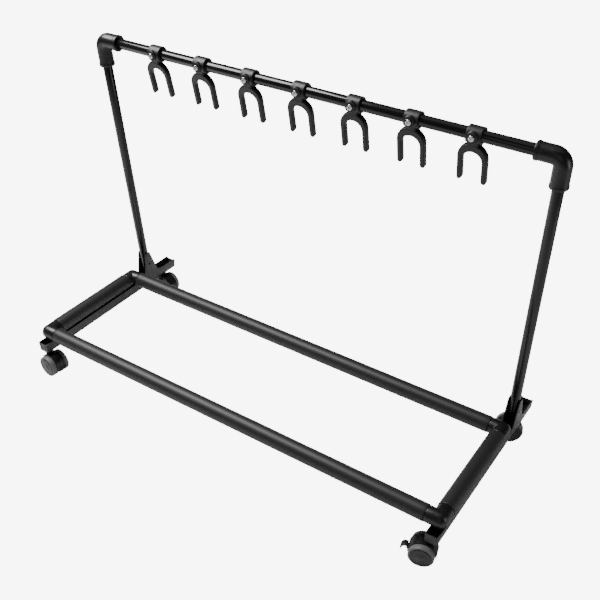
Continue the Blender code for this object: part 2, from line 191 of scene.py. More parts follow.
# %% Finishing
def settle(piece):
    """Put the object's place, turn and scale into its mesh."""
    only(piece)
    bpy.ops.object.transform_apply(location=True, rotation=True, scale=True)


def modify(piece, kind, **settings):
    """Add a modifier and apply it at once."""
    only(piece)
    modifier = piece.modifiers.new(kind.lower(), kind)
    for name, value in settings.items():
        setattr(modifier, name, value)
    bpy.ops.object.modifier_apply(modifier=modifier.name)


def soften(piece, width, segments=2, angle=40):
    """Round every edge sharper than an angle."""
    modify(piece, "BEVEL", width=width, segments=segments, limit_method="ANGLE",
           angle_limit=math.radians(angle), use_clamp_overlap=True)


def join_with(piece, tool, operation="UNION"):
    modify(piece, "BOOLEAN", operation=operation, solver="EXACT", object=tool)
    bpy.data.objects.remove(tool, do_unlink=True)


def tidy_mesh(piece):
    """Weld doubled points, then turn every face outwards."""
    edit(piece)
    select_whole()
    bpy.ops.mesh.remove_doubles(threshold=0.00001)
    bpy.ops.mesh.normals_make_consistent(inside=False)
    leave()


def smooth(piece, angle=SMOOTH_ANGLE):
    only(piece)
    bpy.ops.object.shade_smooth_by_angle(angle=angle)


def copy_of(piece, name, place):
    """A copy with its own mesh, moved by a matrix that goes into the mesh."""
    twin = piece.copy()
    twin.data = piece.data.copy()
    bpy.context.scene.collection.objects.link(twin)
    twin.name = name
    twin.data.name = name
    twin.matrix_world = place @ piece.matrix_world
    settle(twin)
    return twin


def drop(piece):
    bpy.data.objects.remove(piece, do_unlink=True)


def add_block(name, centre, size):
    deselect()
    bpy.ops.mesh.primitive_cube_add(size=1, location=centre)
    block = take(name)
    block.scale = size
    settle(block)
    return block


def keep_above(piece, height):
    """Cut a piece level at a height, drop what is under it and close the cut."""
    edit(piece)
    select_whole()
    bpy.ops.mesh.bisect(plane_co=(0, 0, height), plane_no=(0, 0, 1), clear_inner=True,
                        use_fill=True)
    leave()


print("finishing helpers ready")

# %% [markdown]
# ## Shared effects for the finishes
# Two things show on nearly every surface of the rack: a fine grain (spray texture on paint,
# spark texture on moulded plastic, cells in foam) and slow patches where the gloss varies a
# little. Each is a node group with its own inputs, so that one idea serves every material.

# %% Group: grain
def set_inputs(node, values):
    for label, value in values.items():
        node.inputs[label].default_value = value


def wire(source, output, target, label):
    """Link an output of one node to an input of another in the same tree."""
    source.id_data.links.new(source.outputs[output], target.inputs[label])


def new_group(name, inputs, outputs):
    group = bpy.data.node_groups.new(name, "ShaderNodeTree")
    for label, kind, value in inputs:
        socket = group.interface.new_socket(label, in_out="INPUT", socket_type=kind)
        socket.default_value = value
    for label, kind in outputs:
        group.interface.new_socket(label, in_out="OUTPUT", socket_type=kind)
    start = group.nodes.new("NodeGroupInput")
    end = group.nodes.new("NodeGroupOutput")
    return group, start, end


def grain_group():
    """Fine noise over coarse noise: a height for bump and a value for gloss."""
    group, start, end = new_group(
        "grain",
        [("Scale", "NodeSocketFloat", 900.0), ("Coarse", "NodeSocketFloat", 0.35),
         ("Vector", "NodeSocketVector", (0, 0, 0))],
        [("Height", "NodeSocketFloat"), ("Patches", "NodeSocketFloat")])
    nodes = group.nodes
    fine = nodes.new("ShaderNodeTexNoise")
    set_inputs(fine, {"Detail": 3.0, "Roughness": 0.6})
    eighth = nodes.new("ShaderNodeMath")
    eighth.operation = "MULTIPLY"
    eighth.inputs[1].default_value = 0.12
    broad = nodes.new("ShaderNodeTexNoise")
    broad.inputs["Detail"].default_value = 2.0
    blend = nodes.new("ShaderNodeMix")
    for texture in (fine, broad):
        wire(start, "Vector", texture, "Vector")
    wire(start, "Scale", fine, "Scale")
    wire(start, "Scale", eighth, 0)
    wire(eighth, 0, broad, "Scale")
    wire(start, "Coarse", blend, "Factor")
    wire(fine, "Fac", blend, "A")
    wire(broad, "Fac", blend, "B")
    wire(blend, "Result", end, "Height")
    wire(broad, "Fac", end, "Patches")
    return group


def cells_group():
    """Closed foam cells: round pits of uneven size, and their walls a shade lighter."""
    group, start, end = new_group(
        "foam_cells",
        [("Scale", "NodeSocketFloat", 1400.0), ("Vector", "NodeSocketVector", (0, 0, 0))],
        [("Height", "NodeSocketFloat"), ("Walls", "NodeSocketFloat")])
    nodes = group.nodes
    cells = nodes.new("ShaderNodeTexVoronoi")
    cells.feature = "F1"
    edges = nodes.new("ShaderNodeTexVoronoi")
    edges.feature = "DISTANCE_TO_EDGE"
    for texture in (cells, edges):
        wire(start, "Vector", texture, "Vector")
        wire(start, "Scale", texture, "Scale")
    walls = nodes.new("ShaderNodeMapRange")
    set_inputs(walls, {"From Max": 0.12, "To Min": 1.0, "To Max": 0.0})
    wire(edges, "Distance", walls, "Value")
    wire(cells, "Distance", end, "Height")
    wire(walls, "Result", end, "Walls")
    return group


GRAIN = grain_group()
CELLS = cells_group()
print("groups:", GRAIN.name, CELLS.name)

# %% [markdown]
# ## Materials
# Nearly all of the rack is black, so the finishes are told apart by gloss and grain and not by
# colour. Each material starts from the same few nodes: the grain group gives the bump, and its
# slow patches move the roughness and the colour a little around their middle values.

# %% Parts that both kinds of finish share
def new_surface(name, group, scale):
    """Material with one effect group that reads object coordinates."""
    made = bpy.data.materials.new(name)
    made.use_nodes = True
    nodes = made.node_tree.nodes
    place = nodes.new("ShaderNodeTexCoord")
    effect = nodes.new("ShaderNodeGroup")
    effect.node_tree = group
    effect.inputs["Scale"].default_value = scale
    wire(place, "Object", effect, "Vector")
    return made, nodes["Principled BSDF"], effect


def shade_by(effect, output, colour, low, high):
    """Base colour between two multiples of a colour, led by an output of the effect."""
    nodes = effect.id_data.nodes
    shade = nodes.new("ShaderNodeMix")
    shade.data_type = "RGBA"
    shade.inputs["A"].default_value = (*[value * low for value in colour], 1)
    shade.inputs["B"].default_value = (*[value * high for value in colour], 1)
    wire(effect, output, shade, "Factor")
    wire(shade, "Result", nodes["Principled BSDF"], "Base Color")


def relief_by(effect, strength, bump, invert=False):
    """Bump led by the effect's height; bump is in millimetres."""
    nodes = effect.id_data.nodes
    relief = nodes.new("ShaderNodeBump")
    set_inputs(relief, {"Strength": strength, "Distance": bump / 1000})
    relief.invert = invert
    wire(effect, "Height", relief, "Height")
    wire(relief, "Normal", nodes["Principled BSDF"], "Normal")


# %% The two kinds of finish
def finish(name, colour, rough, grain, bump, spread=0.06, tint=0.15, metallic=0.0):
    """Paint, plastic, rubber or metal; grain is in bumps per metre, bump in millimetres."""
    made, shader, effect = new_surface(name, GRAIN, grain)
    shader.inputs["Metallic"].default_value = metallic
    gloss = made.node_tree.nodes.new("ShaderNodeMapRange")
    set_inputs(gloss, {"From Min": 0.3, "From Max": 0.7,
                       "To Min": rough - spread, "To Max": rough + spread})
    wire(effect, "Patches", gloss, "Value")
    wire(gloss, "Result", shader, "Roughness")
    shade_by(effect, "Height", colour, 1 - tint, 1 + tint)
    relief_by(effect, 0.6, bump)
    return made


def foam_finish(name, colour, rough, scale, bump):
    """Matte sleeve foam: pits for bump, paler cell walls, a little sheen at grazing angles."""
    made, shader, effect = new_surface(name, CELLS, scale)
    set_inputs(shader, {"Roughness": rough, "Sheen Weight": 0.10, "Sheen Roughness": 0.5})
    shade_by(effect, "Walls", colour, 0.8, 1.35)
    relief_by(effect, 0.5, bump, invert=True)
    return made


# %% The rack's finishes
black_paint = finish("black_paint", (0.007, 0.007, 0.008), 0.15, 700, 0.02, spread=0.03)
foot_paint = finish("foot_paint", (0.028, 0.028, 0.029), 0.40, 900, 0.03)
black_foam = foam_finish("black_foam", (0.010, 0.010, 0.011), 0.48, 1500, 0.12)
black_plastic = finish("black_plastic", (0.008, 0.008, 0.009), 0.32, 1600, 0.03)
yoke_rubber = finish("yoke_rubber", (0.009, 0.009, 0.010), 0.44, 1400, 0.04)
liner_plastic = finish("liner_plastic", (0.007, 0.007, 0.007), 0.50, 1200, 0.03)
dark_bolt = finish("dark_bolt", (0.035, 0.035, 0.038), 0.38, 1500, 0.02, metallic=0.9)
bright_screw = finish("bright_screw", (0.70, 0.70, 0.72), 0.16, 1500, 0.01, spread=0.04, tint=0.05,
                      metallic=1.0)
wheel_rubber = finish("wheel_rubber", (0.13, 0.13, 0.135), 0.42, 800, 0.05)
wheel_disc = finish("wheel_disc", (0.010, 0.010, 0.011), 0.34, 1500, 0.03)
print("finishes:", len(bpy.data.materials))

# %% [markdown]
# ## Handing a piece to the frame
# `dress` does the three things each finished piece needs: its material, the body it moves with,
# and hiding the plain nodes it stands for.

# %% Dress
dressed = []


def dress(piece, material, body, slot, *nodes):
    piece.data.materials.clear()
    piece.data.materials.append(material)
    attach(piece, body)
    if nodes:
        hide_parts(*nodes)
    dressed.append(piece)


# %% [markdown]
# ## Tubes
# The bar, the uprights and the tubes inside the foam are plain steel pipe. A cylinder gives the
# outside; its two end faces are inset by the wall, opened, and the two inner rings bridged to
# make the bore. The cut ends get a small chamfer, as a deburred pipe has.

# %% Tube helper
def aim(start, end):
    """Turn that carries +Z onto the line from start to end."""
    return (end - start).to_track_quat("Z", "Y").to_euler()


def add_rod(name, start, end, radius, sides=ROUND):
    start, end = Vector(start), Vector(end)
    deselect()
    bpy.ops.mesh.primitive_cylinder_add(vertices=sides, radius=radius, depth=(end - start).length,
                                        location=(start + end) / 2, rotation=aim(start, end))
    rod = take(name)
    settle(rod)
    return rod


def pierce(piece, start, end, radius, sides=ROUND):
    """Subtract a rod from a piece."""
    join_with(piece, add_rod("bore", start, end, radius, sides), "DIFFERENCE")


def hollow(piece, wall, sides):
    """Open both ends of a rod and join the two inner rings into a bore."""
    edit(piece)
    pick(piece, "FACE", lambda face: len(face.verts) == sides)
    bpy.ops.mesh.inset(thickness=wall)
    bpy.ops.mesh.delete(type="FACE")
    pick(piece, "EDGE", lambda edge: edge.is_boundary)
    bpy.ops.mesh.bridge_edge_loops()
    leave()


def add_tube(name, start, end, radius=TUBE_R, wall=TUBE_WALL, chamfer=0.0004):
    tube = add_rod(name, start, end, radius)
    hollow(tube, wall, ROUND)
    soften(tube, chamfer)
    smooth(tube)
    return tube


# %% Top bar
low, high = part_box("top_bar")
bar = add_tube("bar_tube", (low.x, BAR.y, BAR.z), (high.x, BAR.y, BAR.z))
dress(bar, black_paint, "frame", "black_paint", "top_bar")
print("bar length", round(high.x - low.x, 4), "m")

# %% Uprights
CLIMB = Vector((0, math.sin(LEAN), math.cos(LEAN)))
ACROSS = Vector((0.02, 0, 0))
for side in SIDES:
    low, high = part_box(f"upright_{side}")
    rim_drop = TUBE_R * abs(math.sin(LEAN))
    reach_down = (PINS[side].z - low.z - rim_drop) / CLIMB.z
    reach_up = (high.z - rim_drop - PINS[side].z) / CLIMB.z
    upright = add_tube(f"upright_tube_{side}", PINS[side] - CLIMB * reach_down,
                       PINS[side] + CLIMB * reach_up)
    pierce(upright, PINS[side] - ACROSS, PINS[side] + ACROSS, PIN_R + GAP, 24)
    smooth(upright)
    dress(upright, black_paint, "frame", "black_paint", f"upright_{side}")
    print(side, "upright length", round(reach_down + reach_up, 4), "m")

# %% [markdown]
# ## Rails: tube and foam
# Each rail of the base loop is a pipe in a foam sleeve. The foam is the softest thing on the
# rack: its cut ends are rounded over, and its surface is not perfectly straight. The sleeve is a
# cylinder divided along its length, bored like the pipe, with a broad bevel on the rims; a very
# small noise displacement then takes away the machined look.

# %% Foam helper
FOAM_RIM = 0.0018
FOAM_STEPS = 70
WAVER = bpy.data.textures.new("foam_waver", "CLOUDS")
WAVER.noise_scale = 0.06


def add_foam(name, start, end):
    start, end = Vector(start), Vector(end)
    along = (end - start).normalized()
    foam = add_rod(name, start, end, FOAM_R)
    edit(foam)
    pick(foam, "EDGE", lambda edge: abs((edge.verts[0].co - edge.verts[1].co).dot(along)) > 0.01)
    bpy.ops.mesh.subdivide(number_cuts=FOAM_STEPS)
    leave()
    hollow(foam, FOAM_R - TUBE_R - 1.5 * GAP, ROUND)
    edit(foam)
    rim = FOAM_R - 0.0005

    def outer_rim(edge):
        if edge.is_boundary or len(edge.link_faces) != 2:
            return False
        from_axis = [(v.co - start - along * (v.co - start).dot(along)).length for v in edge.verts]
        at_end = min((middle(edge) - start).dot(along), (end - middle(edge)).dot(along)) < 0.0001
        return at_end and min(from_axis) > rim

    pick(foam, "EDGE", outer_rim)
    bpy.ops.mesh.bevel(offset=FOAM_RIM, segments=6)
    leave()
    modify(foam, "DISPLACE", texture=WAVER, strength=0.0006, mid_level=0.5, texture_coords="LOCAL")
    smooth(foam)
    return foam


# %% Cross rails
for label, middle_of_rail in (("front", FRONT_RAIL), ("rear", REAR_RAIL)):
    low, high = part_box(f"{label}_rail_tube")
    ends = [Vector((x, middle_of_rail.y, middle_of_rail.z)) for x in (low.x, high.x)]
    tube = add_tube(f"{label}_rail_pipe", *ends)
    dress(tube, black_paint, "frame", "black_paint", f"{label}_rail_tube")
    low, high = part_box(f"{label}_rail_foam")
    ends = [Vector((x, middle_of_rail.y, middle_of_rail.z)) for x in (low.x, high.x)]
    foam = add_foam(f"{label}_rail_sleeve", *ends)
    dress(foam, black_foam, "frame", "black_foam", f"{label}_rail_foam")
print("foam reaches", round(high.x, 4), "m each way")

# %% [markdown]
# The two side rails are held to the feet by bolts from below, so their pipe and foam are pierced
# where the bolts pass. A rod subtracted with a Boolean does that in one step.

# %% Side rails
BORE_BELOW = 0.0295
BORE_DEPTH = Vector((0, 0, 0.025))
for side, x in SIDES.items():
    bolts = [centre_of(f"{side}_foot_bolt_{number}") for number in (1, 2)]
    for kind, shape, slot, material in (("tube", add_tube, "black_paint", black_paint),
                                        ("foam", add_foam, "black_foam", black_foam)):
        node = f"{side}_side_{kind}"
        low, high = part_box(node)
        ends = [Vector((x, y, FLOOR_TO_RAIL)) for y in (low.y, high.y)]
        rail = shape(f"{side}_side_{'pipe' if kind == 'tube' else 'sleeve'}", *ends)
        for bolt in bolts:
            bottom = Vector((bolt.x, bolt.y, FLOOR_TO_RAIL - BORE_BELOW))
            pierce(rail, bottom, bottom + BORE_DEPTH, BOLT_R + GAP, 20)
        smooth(rail)
        dress(rail, material, "frame", slot, node)
print("side rails pierced at y =", [round(bolt.y, 4) for bolt in bolts])

# %% [markdown]
# ## Top elbows
# A top elbow is a moulded bend with a thicker lip at each mouth. It is drawn as a moulder would
# think of it: a ring is carried along the bar's line, spun through a right angle, and carried
# down the upright's line. Both mouths are then closed, inset to the tube's size and pushed in,
# so that each is a blind socket. One elbow is made at the origin and turned for both ends.

# %% Ring helpers
def next_ring(step, scale=1.0, centre=(0, 0, 0)):
    """Extrude the selected ring by a step, then scale it about its new centre."""
    extrude(step)
    if scale != 1.0:
        bpy.ops.transform.resize(value=(scale, scale, scale), center_override=centre)


def plug_mouth(piece, place, reach, rim, depth_step):
    """Close the open ring near a place, inset it to a socket and push it in."""
    pick(piece, "EDGE", lambda edge: edge.is_boundary and (middle(edge) - place).length < reach)
    bpy.ops.mesh.edge_face_add()
    bpy.ops.mesh.inset(thickness=rim)
    extrude(depth_step)


# %% One top elbow
ELBOW_R = 0.0167
ELBOW_LIP = 0.0176
ELBOW_LIP_LENGTH = 0.006
ELBOW_BEND = 0.0185
ELBOW_ARM = 0.050
ELBOW_DROP = 0.058
ELBOW_CHAMFER = 0.0008
ELBOW_STOP = 0.003
SOCKET_R = TUBE_R + 1.5 * GAP


def add_top_elbow():
    """Corner at the origin, bar mouth towards +X, upright mouth towards -Z."""
    deselect()
    bpy.ops.mesh.primitive_circle_add(vertices=ROUND, radius=ELBOW_LIP - ELBOW_CHAMFER,
                                      location=(ELBOW_ARM, 0, 0), rotation=(0, math.pi / 2, 0))
    elbow = take("top_elbow_pattern")
    settle(elbow)
    edit(elbow)
    select_whole()
    wide = ELBOW_LIP / (ELBOW_LIP - ELBOW_CHAMFER)
    narrow = ELBOW_R / ELBOW_LIP
    place = ELBOW_ARM
    for step, scale in ((ELBOW_CHAMFER, wide), (ELBOW_LIP_LENGTH - ELBOW_CHAMFER, 1.0),
                        (ELBOW_LIP - ELBOW_R, narrow), (0.012, 1.0)):
        place -= step
        next_ring((-step, 0, 0), scale, (place, 0, 0))
    next_ring((ELBOW_BEND - place, 0, 0))
    bpy.ops.mesh.spin(steps=16, angle=math.pi / 2, center=(ELBOW_BEND, 0, -ELBOW_BEND),
                      axis=(0, 1, 0))
    place = ELBOW_BEND
    straight = ELBOW_DROP - ELBOW_LIP_LENGTH - (ELBOW_LIP - ELBOW_R) - ELBOW_BEND
    for step, scale in ((straight, 1.0), (ELBOW_LIP - ELBOW_R, 1 / narrow),
                        (ELBOW_LIP_LENGTH - ELBOW_CHAMFER, 1.0), (ELBOW_CHAMFER, 1 / wide)):
        place += step
        next_ring((0, 0, -step), scale, (0, 0, -place))
    rim = ELBOW_LIP - ELBOW_CHAMFER - SOCKET_R
    depth_x = ELBOW_ARM - ELBOW_BEND - ELBOW_STOP
    depth_z = ELBOW_DROP - ELBOW_BEND - ELBOW_STOP
    plug_mouth(elbow, Vector((ELBOW_ARM, 0, 0)), ELBOW_LIP * 1.1, rim, (-depth_x, 0, 0))
    plug_mouth(elbow, Vector((0, 0, -ELBOW_DROP)), ELBOW_LIP * 1.1, rim, (0, 0, depth_z))
    leave()
    tidy_mesh(elbow)
    soften(elbow, 0.0005, 2, 25)
    smooth(elbow)
    return elbow


elbow = add_top_elbow()
for side, x in SIDES.items():
    half_turn = Matrix.Rotation(0 if side == "left" else math.pi, 4, "Z")
    lean = Matrix.Rotation(-LEAN, 4, "X")
    corner = Matrix.Translation((x, BAR.y, BAR.z))
    piece = copy_of(elbow, f"top_corner_{side}", corner @ lean @ half_turn)
    dress(piece, black_plastic, "frame", "black_plastic", f"top_elbow_{side}")
drop(elbow)
print("top elbow", round(ELBOW_ARM * 1000), "by", round(ELBOW_DROP * 1000), "mm")

# %% [markdown]
# ## Base elbows
# A base elbow has two arms that meet in a ball-shaped heel. Half of it is made from a sphere: cut
# the sphere square to one arm, drop that half, and draw the open ring out along the arm. A cut
# along the diagonal between the arms and a mirror then give a clean seam down the corner.

# %% One base elbow
HEEL_R = 0.0177
ARM_CHAMFER = 0.0010
SOCKET_STOP = 0.014


def add_base_elbow():
    """Corner at the origin, arms towards +X and +Y."""
    diagonal = math.radians(45)
    along = Vector((math.cos(diagonal), math.sin(diagonal), 0))
    deselect()
    bpy.ops.mesh.primitive_uv_sphere_add(segments=ROUND, ring_count=24, radius=HEEL_R,
                                         rotation=aim(Vector(), along))
    elbow = take("base_elbow_pattern")
    settle(elbow)
    edit(elbow)
    select_whole()
    bpy.ops.mesh.bisect(plane_co=(0, 0, 0), plane_no=along, clear_outer=True)
    pick(elbow, "EDGE", lambda edge: edge.is_boundary)
    length = FOAM_END - GAP
    next_ring(along * (length - ARM_CHAMFER))
    next_ring(along * ARM_CHAMFER, 1 - ARM_CHAMFER / HEEL_R, along * length)
    rim = HEEL_R - ARM_CHAMFER - SOCKET_R
    plug_mouth(elbow, along * length, HEEL_R * 1.1, rim, -along * (length - SOCKET_STOP))
    face_outwards()
    bpy.ops.mesh.bisect(plane_co=(0, 0, 0), plane_no=(0, 1, 0), clear_inner=True)
    leave()
    modify(elbow, "MIRROR", use_axis=(False, True, False), merge_threshold=0.00005)
    tidy_mesh(elbow)
    elbow.rotation_euler.z = diagonal
    settle(elbow)
    soften(elbow, 0.0011, 3, 30)
    smooth(elbow)
    return elbow


elbow = add_base_elbow()
for end, y, turn in (("front", FRONT_RAIL.y, {"left": 0, "right": 90}),
                     ("rear", REAR_RAIL.y, {"left": 270, "right": 180})):
    for side, x in SIDES.items():
        turned = Matrix.Rotation(math.radians(turn[side]), 4, "Z")
        place = Matrix.Translation((x, y, FLOOR_TO_RAIL)) @ turned
        piece = copy_of(elbow, f"{end}_{side}_corner", place)
        dress(piece, black_plastic, "frame", "black_plastic", f"{end}_{side}_elbow")
drop(elbow)
print("four base corners placed")

# %% [markdown]
# ## Feet
# Each foot is one sheet of steel folded into a tray, with two ears left standing to hold the
# upright. The side view comes first: a plane is stretched to the tray's length, its top edge is
# divided, and the new points are lifted into the ear. Corners are rounded with a vertex bevel.
# The outline is drawn out across the width, opened along the top, folded soft along the bottom
# edges and only then given the thickness of the sheet.

# %% Foot sizes
SHEET = 0.002
TRAY_BELOW_RAIL = 0.0195
OPENING = 0.0051
EAR_FROM_PIN = (0.0315, 0.0050, -0.0095, -0.0200)
FILLETS = (0.003, 0.003, 0.005, 0.022, 0.003, 0.004, 0.004, 0.002)
FOLD = 0.0030


def corner_trim(radius, before, here, after):
    """How far a fillet of a radius reaches along the edges of its corner."""
    half = (before - here).angle(after - here) / 2
    return radius / math.tan(half)


# %% One foot
def add_foot(side):
    low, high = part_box(f"foot_{side}")
    tray_top = FLOOR_TO_RAIL - TRAY_BELOW_RAIL
    ear = PINS[side].y
    deselect()
    centre = (low.x, (low.y + high.y) / 2, (low.z + tray_top) / 2)
    bpy.ops.mesh.primitive_plane_add(size=1, rotation=(0, -math.pi / 2, 0), location=centre)
    foot = take(f"foot_pattern_{side}")
    foot.scale = (tray_top - low.z, high.y - low.y, 1)
    settle(foot)
    edit(foot)
    pick(foot, "EDGE", lambda edge: middle(edge).z > tray_top - 0.001)
    bpy.ops.mesh.subdivide(number_cuts=4)
    ear_points = zip(EAR_FROM_PIN, (tray_top, high.z, high.z, tray_top))
    corners = [(high.y, tray_top), *((ear + y, z) for y, z in ear_points), (low.y, tray_top)]
    mesh = bmesh.from_edit_mesh(foot.data)
    tops = sorted((v for v in mesh.verts if v.co.z > tray_top - 0.001), key=lambda v: -v.co.y)
    for vertex, (y, z) in zip(tops, corners):
        vertex.co = (low.x, y, z)
    bmesh.update_edit_mesh(foot.data)
    outline = [Vector((0, low.y, low.z)), Vector((0, high.y, low.z))]
    outline += [Vector((0, y, z)) for y, z in corners]
    for i, radius in enumerate(FILLETS):
        here = outline[i]
        trim = corner_trim(radius, outline[i - 1], here, outline[(i + 1) % len(outline)])
        at = Vector((low.x, here.y, here.z))
        pick(foot, "VERT", lambda vertex, at=at: (vertex.co - at).length < 0.0002)
        bpy.ops.mesh.bevel(offset=trim, segments=8, affect="VERTICES")
    select_whole()
    extrude((high.x - low.x, 0, 0))
    face_outwards()

    def opening(face):
        if abs(face.normal.x) > 0.5:
            return False
        height = middle(face).z
        return height > tray_top or height > tray_top - OPENING and abs(face.normal.y) < 0.999

    pick(foot, "FACE", opening)
    bpy.ops.mesh.delete(type="FACE")

    def fold(edge):
        if len(edge.link_faces) != 2:
            return False
        faces = [abs(face.normal.x) > 0.5 for face in edge.link_faces]
        return faces[0] != faces[1]

    pick(foot, "EDGE", fold)
    bpy.ops.mesh.bevel(offset=FOLD, segments=5)
    leave()
    modify(foot, "SOLIDIFY", thickness=SHEET, offset=-1, use_even_offset=True)
    soften(foot, 0.0004, 2, 60)
    return foot


# %% [markdown]
# The holes are cut last, through the finished sheet: two for the foot bolts, two for the caster
# stems and one through each ear for the cross pin.

# %% Both feet
HOLE_DEPTH = Vector((0, 0, 0.012))
for side in SIDES:
    foot = add_foot(side)
    foot.name = f"foot_channel_{side}"
    low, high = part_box(f"foot_{side}")
    holes = [(centre_of(f"{side}_foot_bolt_{number}"), BOLT_R) for number in (1, 2)]
    for end in ("front", "rear"):
        holes.append((JOINTS[f"caster_{end}_{side}_swivel"], STEM_R))
    for place, radius in holes:
        bottom = Vector((place.x, place.y, low.z - 0.003))
        pierce(foot, bottom, bottom + HOLE_DEPTH, radius + GAP, 32)
    pierce(foot, PINS[side] - ACROSS, PINS[side] + ACROSS, PIN_R + GAP, 32)
    tidy_mesh(foot)
    smooth(foot)
    dress(foot, foot_paint, "frame", "foot_paint", f"foot_{side}")
    print("foot", side, "faces", len(foot.data.polygons))

# %% [markdown]
# ## Bolts, pins and stem nuts
# The fasteners are small and dark, but their shapes catch light where nothing else does. A bolt
# is a six-sided head, a round flange and a shank, joined by Booleans; it is made once, hanging
# head down, and copied under each foot. The cross pins have a chamfer and a small key socket.

# %% One foot bolt
FLANGE = 0.0015
FLANGE_R = 0.0085
HEX_R = 0.0068


def add_bolt(head, length):
    """Flange face at z = 0, head of that height below it, shank of that length above."""
    deselect()
    bpy.ops.mesh.primitive_cylinder_add(vertices=6, radius=HEX_R, depth=head - FLANGE / 2,
                                        location=(0, 0, -(head + FLANGE / 2) / 2))
    bolt = take("bolt_pattern")
    settle(bolt)
    soften(bolt, 0.0005, 2, 50)
    flange = add_rod("flange", (0, 0, -FLANGE), (0, 0, 0), FLANGE_R)
    soften(flange, 0.0005, 2)
    join_with(bolt, flange)
    join_with(bolt, add_rod("shank", (0, 0, -FLANGE / 2), (0, 0, length), BOLT_R, 32))
    smooth(bolt)
    return bolt


low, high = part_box("left_foot_bolt_1")
BOLT_HEAD = 0.006
bolt = add_bolt(BOLT_HEAD, high.z - low.z - BOLT_HEAD)
for side in SIDES:
    for number in (1, 2):
        node = f"{side}_foot_bolt_{number}"
        at = centre_of(node)
        place = Matrix.Translation((at.x, at.y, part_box(node)[0].z + BOLT_HEAD))
        piece = copy_of(bolt, f"{side}_hex_bolt_{number}", place)
        dress(piece, dark_bolt, "frame", "dark_bolt", node)
drop(bolt)
print("bolt", round((high.z - low.z) * 1000, 1), "mm long")

# %% Cross pins
KEY_R = 0.0022
KEY_DEPTH = 0.0028
for side, place in PINS.items():
    low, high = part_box(f"upright_pin_{side}")
    pin = add_rod(f"cross_pin_{side}", (low.x, place.y, place.z), (high.x, place.y, place.z), PIN_R)
    for face_x, inward in ((low.x, 1), (high.x, -1)):
        mouth = Vector((face_x - inward * 0.001, place.y, place.z))
        pierce(pin, mouth, mouth + Vector((inward * KEY_DEPTH, 0, 0)), KEY_R, 6)
    soften(pin, 0.0003, 2)
    smooth(pin)
    dress(pin, dark_bolt, "frame", "dark_bolt", f"upright_pin_{side}")
print("pins at z =", round(PINS["left"].z, 4))

# %% [markdown]
# Each caster stem comes up through the floor of the tray and is held there by a nut on a washer.
# They sit down inside the channel, where they show only from the ends and from above.

# %% Stem nuts
NUT_R = 0.0092
NUT_HEIGHT = 0.0065
WASHER = 0.0012
WASHER_R = 0.0105
TRAY_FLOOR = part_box("foot_left")[0].z + SHEET


def add_nut():
    """Washer and nut around the Z axis, resting on z = 0."""
    nut = add_rod("nut_pattern", (0, 0, WASHER), (0, 0, WASHER + NUT_HEIGHT), NUT_R, 6)
    soften(nut, 0.0006, 2, 50)
    washer = add_rod("washer", (0, 0, 0), (0, 0, WASHER + 0.0001), WASHER_R)
    join_with(nut, washer)
    pierce(nut, (0, 0, -0.001), (0, 0, WASHER + NUT_HEIGHT + 0.001), STEM_R + GAP)
    smooth(nut)
    return nut


nut = add_nut()
for name, stem in JOINTS.items():
    if name.endswith("_swivel"):
        place = Matrix.Translation((stem.x, stem.y, TRAY_FLOOR + 0.0001))
        piece = copy_of(nut, name.replace("caster_", "stem_nut_").replace("_swivel", ""), place)
        dress(piece, dark_bolt, "frame", "dark_bolt")
drop(nut)
print("nuts rest at z =", round(TRAY_FLOOR, 4))

# %% [markdown]
# ## Neck yokes
# A yoke is one soft moulding: a collar around the bar, a round boss for the clamp screw, a neck,
# and a two-armed fork. The fork starts as two half circles whose ends are drawn down to the tips
# and bridged into a flat strip. The tips are rounded, more on the inside than on the outside,
# and the strip is given its thickness and well rounded edges.

# %% Fork
YOKE_TILT = math.radians(13)
YOKE_AHEAD = 0.0090
YOKE_CROWN = 0.0122
YOKE_INNER_CROWN = 0.0287
YOKE_TIP = 0.0932
YOKE_HALF = 0.0287
YOKE_GAP_HALF = 0.0186
YOKE_THICK = 0.0127
YOKE_ROUND = 0.0030
TIP_TRIM = 0.0040
INNER_TIP_TRIM = 0.0056


